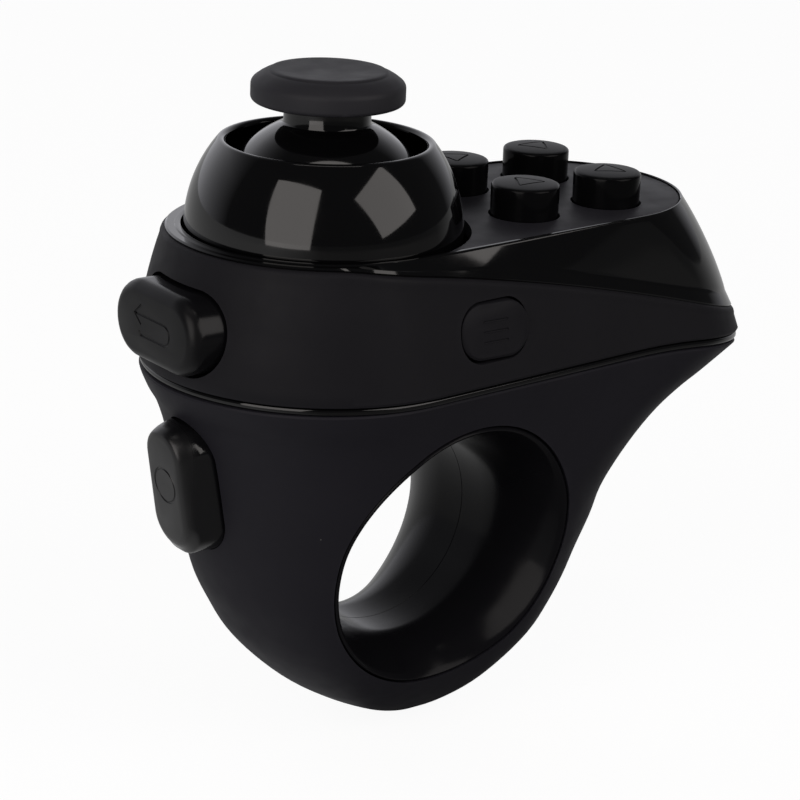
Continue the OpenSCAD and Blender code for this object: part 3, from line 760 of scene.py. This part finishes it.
def trigger_button():
    """Tall trigger key with a leaning face, broad bevels and an engraved ring."""
    lean = math.tan(math.radians(10.5))
    rows = smooth_rows([(3.6, 6.7, -23.7, 0.0), (3.52, 6.62, -24.15, 0.25), (3.25, 6.3, -24.9, 0.75),
                        (2.9, 5.9, -25.45, 0.97), (2.6, 5.55, -25.62, 1.0), (2.35, 5.25, -25.68, 1.0)], 4)
    flange = [(4.5, 7.4, -16.9, 0.0), (4.5, 7.4, -17.3, 0.0), (3.6, 6.7, -17.35, 0.0)]
    rows = flange + [tuple(row) for row in rows]
    rings = []
    for half_y, half_z, x, tilt in rows:
        corner = min(half_y - 0.2, 3)
        rings.append([(x - 0.85 * z * lean * tilt, y, TRIGGER_Z + z)
                      for y, z in rounded(half_y, half_z, corner)])

    def on_face(u, v):
        z = v + 0.4
        return -25.7 - 0.85 * z * lean, -u, TRIGGER_Z + z
    ring = arc(0, 0, 1.75, 0, 351, 39)
    key = cut(loft(rings), groove([(ring, True)], 0.27, on_face))
    place("trigger_key", key, "trigger_button", TRIGGER_KEY, ["trigger_button"], sharp=30)


FLANK_SLOPE = 0.15


def menu_button():
    """Small key flush with the flank, with three engraved bars."""
    face = low("menu_button").y + 0.3
    rows = [(-13.5, -0.6), (-13.95, -0.6), (-14, 0), (face + 0.45, 0), (face + 0.15, 0.08), (face, 0.35)]
    rings = []
    for y, inset in rows:
        tilt = FLANK_SLOPE if y < -15 else 0
        rings.append([(MENU.x + x, y + tilt * z, MENU.z + z)
                      for x, z in rounded(4.15 - inset, 2.75 - inset, 2.55 - inset)])

    def on_face(u, v):
        return MENU.x + u, face + FLANK_SLOPE * v - 0.03, MENU.z + v
    key = loft(rings)
    for v in (1.0, 0, -1.0):
        key = cut(key, groove([([(-1.5, v), (1.5, v)], False)], 0.27, on_face))
    place("menu_key", key, "menu_button", BAND_MATT, ["menu_button"], sharp=30)


def power_slider():
    """Sliding key on the far flank with grip ridges."""
    face = high("power_slider").y - 0.25
    rows = [(13.35, -0.6), (13.8, -0.6), (13.85, 0), (face - 0.3, 0), (face - 0.1, 0.07), (face, 0.25)]
    rings = [[(SLIDER.x + x, y - (FLANK_SLOPE * z if y > 15 else 0), SLIDER.z + z)
              for x, z in rounded(2 - inset, 1.5 - inset, 1.1 - inset / 2)] for y, inset in rows]
    key = loft(rings)
    for u in (-0.9, -0.3, 0.3, 0.9):
        line = [(u, -0.95), (u, 0.95)]
        key = cut(key, groove([(line, False)], 0.3,
                              lambda x, z: (SLIDER.x + x, face - FLANK_SLOPE * z + 0.02, SLIDER.z + z)))
    place("power_slider_key", key, "power_slider", KEY, ["power_slider"], sharp=30)


def charging_socket():
    """Plated socket shell with a rolled mouth and a contact tongue."""
    back, front = low("charging_socket").y, high("charging_socket").y
    half_x, half_z = 3.75, 1.4
    rows = [(back, 0), (front - 0.1, 0), (front, 0.08), (front, 0.25),
            (front - 0.1, 0.35), (back + 0.8, 0.35)]
    rings = [[(SOCKET.x + x, y, SOCKET.z + z)
              for x, z in rounded(half_x - inset, half_z - inset, 0.6 - inset)] for y, inset in rows]
    place("socket_shell", loft(rings), "root", STEEL, ["charging_socket"], sharp=30)
    tongue = prism_y(2.6, 0.25, 0.1, back + 0.7, front - 0.9, SOCKET.x, SOCKET.z + 0.3)
    place("socket_tongue", tongue, "root", CHIP)
    contacts = bmesh.new()
    for i in range(-2, 3):
        part = prism_y(0.16, 0.06, 0.03, back + 0.9, front - 1.1, SOCKET.x + 0.8 * i, SOCKET.z + 0.02)
        mesh = bpy.data.meshes.new("scratch")
        part.to_mesh(mesh)
        part.free()
        contacts.from_mesh(mesh)
    place("socket_contacts", contacts, "root", STEEL)


def status_light():
    """Frosted light pipe with a rounded end."""
    back, front = low("status_light").y, high("status_light").y
    profile = [(1.3, back), (1.3, back + 0.8), (0.8, back + 0.8), (0.8, front - 0.25), (0.72, front - 0.1),
               (0.5, front - 0.02), (0.15, front)]
    steps = [2 * math.pi * i / 40 for i in range(40)]
    rings = [[(LIGHT.x + r * math.cos(a), y, LIGHT.z + r * math.sin(a)) for a in steps] for r, y in profile]
    place("status_light_pipe", loft(rings), "root", PIPE, ["status_light"])


# ---- carried-over CAD nodes ----

INNER_PAINTS = {
    "stick_base": DARK_NYLON, "pitch_rocker": NYLON, "roll_rocker": NYLON, "stick_shaft": NYLON,
    "cross_pin": STEEL, "tail_magnet": STEEL, "return_spring": STEEL, "spring_plate": DARK_NYLON,
    "tilt_sensor": CHIP, "action_switches": STEEL, "back_switch": STEEL, "front_board": BOARD,
    "trigger_switch": STEEL, "trigger_board": BOARD, "menu_switch": STEEL, "power_switch": STEEL,
    "main_board": BOARD, "button_board": BOARD, "processor_chip": CHIP, "wireless_module": STEEL,
    "battery_cell": FOIL, "battery_plug": HOUSING, "board_screws": STEEL, "stick_screws": STEEL}


def paint_inner_nodes():
    for node, paint in INNER_PAINTS.items():
        slots = frame["nodes"][node].material_slots
        for entry in slots:
            entry.material = paint


# ---- studio ----

def direction(azimuth, elevation):
    """Unit vector: azimuth 0 is towards -Y and 90 towards +X, in degrees."""
    a, e = math.radians(azimuth), math.radians(elevation)
    return Vector((math.sin(a) * math.cos(e), -math.cos(a) * math.cos(e), math.sin(e)))


def softbox(name, aim, azimuth, elevation, distance, width, height, power, colour, roll=0):
    lamp = bpy.data.lights.new(name, "AREA")
    lamp.shape, lamp.size, lamp.size_y = "RECTANGLE", width, height
    lamp.energy, lamp.color = power, colour
    obj = bpy.data.objects.new(name, lamp)
    way = direction(azimuth, elevation)
    turn = way.to_track_quat("Z", "Y").to_matrix().to_4x4() @ Matrix.Rotation(math.radians(roll), 4, "Z")
    obj.matrix_world = Matrix.Translation(aim * MM + way * distance) @ turn
    bpy.context.scene.collection.objects.link(obj)


def backdrop_world():
    """White to the camera. In reflections it is bright low down behind the object and dark elsewhere."""
    world = bpy.data.worlds.new("studio")
    bpy.context.scene.world = world
    world.use_nodes = True
    tree = world.node_tree
    tree.nodes.clear()
    coords = tree.nodes.new("ShaderNodeTexCoord")
    split = tree.nodes.new("ShaderNodeSeparateXYZ")
    tree.links.new(coords.outputs["Generated"], split.inputs["Vector"])
    toward = direction(BRIGHT_AZIMUTH, 0)
    dot = tree.nodes.new("ShaderNodeVectorMath")
    dot.operation = "DOT_PRODUCT"
    dot.inputs[1].default_value = toward
    tree.links.new(coords.outputs["Generated"], dot.inputs[0])
    behind = ranged(tree, dot.outputs["Value"], 0.25, 0.9, 0, 1)
    low_down = ranged(tree, split.outputs["Z"], 0.88, 0.42, 0, 1)
    both = tree.nodes.new("ShaderNodeMath")
    both.operation = "MULTIPLY"
    tree.links.new(behind, both.inputs[0])
    tree.links.new(low_down, both.inputs[1])
    studio = mixed(tree, both.outputs["Value"], (0.05, 0.05, 0.052), (0.9, 0.9, 0.95))
    path = tree.nodes.new("ShaderNodeLightPath")
    seen = mixed(tree, path.outputs["Is Camera Ray"], studio, (1.0, 1.0, 1.0))
    shade = tree.nodes.new("ShaderNodeBackground")
    out = tree.nodes.new("ShaderNodeOutputWorld")
    tree.links.new(seen, shade.inputs["Color"])
    tree.links.new(shade.outputs["Background"], out.inputs["Surface"])


def floor():
    """White to the camera. In reflections it is dark towards one azimuth and brighter away from it."""
    z = cad_box[0][2] - 0.0001
    bm = bmesh.new()
    bmesh.ops.create_circle(bm, cap_ends=True, radius=6, segments=64)
    mesh = bpy.data.meshes.new("studio_floor")
    bm.to_mesh(mesh)
    bm.free()
    obj = bpy.data.objects.new("studio_floor", mesh)
    obj.location.z = z
    bpy.context.scene.collection.objects.link(obj)
    paint, tree, shader = new_material("studio_floor")
    tree.links.new(mixed(tree, noise(tree, 400, 2), (0.11, 0.11, 0.11), (0.13, 0.13, 0.13)),
                   shader.inputs["Base Color"])
    shader.inputs["Roughness"].default_value = 0.9
    shader.inputs["Specular IOR Level"].default_value = 0.1
    shader.inputs["Emission Color"].default_value = WHITE
    place_node = tree.nodes.new("ShaderNodeTexCoord")
    outward = tree.nodes.new("ShaderNodeVectorMath")
    outward.operation = "NORMALIZE"
    tree.links.new(place_node.outputs["Object"], outward.inputs[0])
    ahead = tree.nodes.new("ShaderNodeVectorMath")
    ahead.operation = "DOT_PRODUCT"
    ahead.inputs[1].default_value = direction(DARK_FLOOR_AZIMUTH, 0)
    tree.links.new(outward.outputs["Vector"], ahead.inputs[0])
    glow = ranged(tree, ahead.outputs["Value"], 0.6, 0.0, 0.07, 0.42)
    path = tree.nodes.new("ShaderNodeLightPath")
    strength = tree.nodes.new("ShaderNodeMix")
    tree.links.new(path.outputs["Is Camera Ray"], strength.inputs["Factor"])
    tree.links.new(glow, strength.inputs["A"])
    strength.inputs["B"].default_value = 0.93
    tree.links.new(strength.outputs["Result"], shader.inputs["Emission Strength"])
    mesh.materials.append(paint)


CAMERA_AIM = Vector((3.78, 1.91, 11.41))
CAMERA_DISTANCE = 294.8
CAMERA_AZIMUTH = -37.26
CAMERA_ELEVATION = 18.46
CAMERA_ROLL = 2.41
CAMERA_LENS = 129.2
BRIGHT_AZIMUTH = CAMERA_AZIMUTH + 200
DARK_FLOOR_AZIMUTH = 15


def camera():
    data = bpy.data.cameras.new("camera")
    data.sensor_width, data.lens = 36, CAMERA_LENS
    data.clip_start, data.clip_end = 0.01, 20
    obj = bpy.data.objects.new("camera", data)
    way = direction(CAMERA_AZIMUTH, CAMERA_ELEVATION)
    turn = way.to_track_quat("Z", "Y").to_matrix().to_4x4()
    obj.matrix_world = (Matrix.Translation((CAMERA_AIM + way * CAMERA_DISTANCE) * MM) @ turn
                        @ Matrix.Rotation(math.radians(CAMERA_ROLL), 4, "Z"))
    bpy.context.scene.collection.objects.link(obj)
    bpy.context.scene.camera = obj


def studio():
    camera()
    backdrop_world()
    floor()
    warm = (1.0, 0.95, 0.92)
    softbox("softbox_left", pivot, -64, 20, 0.7, 0.5, 0.72, 2.4, warm)
    softbox("softbox_right", pivot, 24, 28, 0.7, 0.5, 0.5, 1.5, warm, roll=20)
    softbox("strip_top", pivot, -30, 80, 0.7, 0.54, 0.07, 0.25, warm)


lower_shell()
waist_bead()
band()
top_trim()
deck()
liner_half("liner_near_skin", "ring_liner_near", -1)
liner_half("liner_far_skin", "ring_liner_far", 1)
collar()
dome()
cap()
for action_node, points_to in zip(ACTION_NODES, (90, 0, 180, -90)):
    action_button(action_node, points_to)
back_button()
trigger_button()
menu_button()
power_slider()
charging_socket()
status_light()
paint_inner_nodes()
studio()
bpy.context.scene.view_settings.view_transform = "Standard"
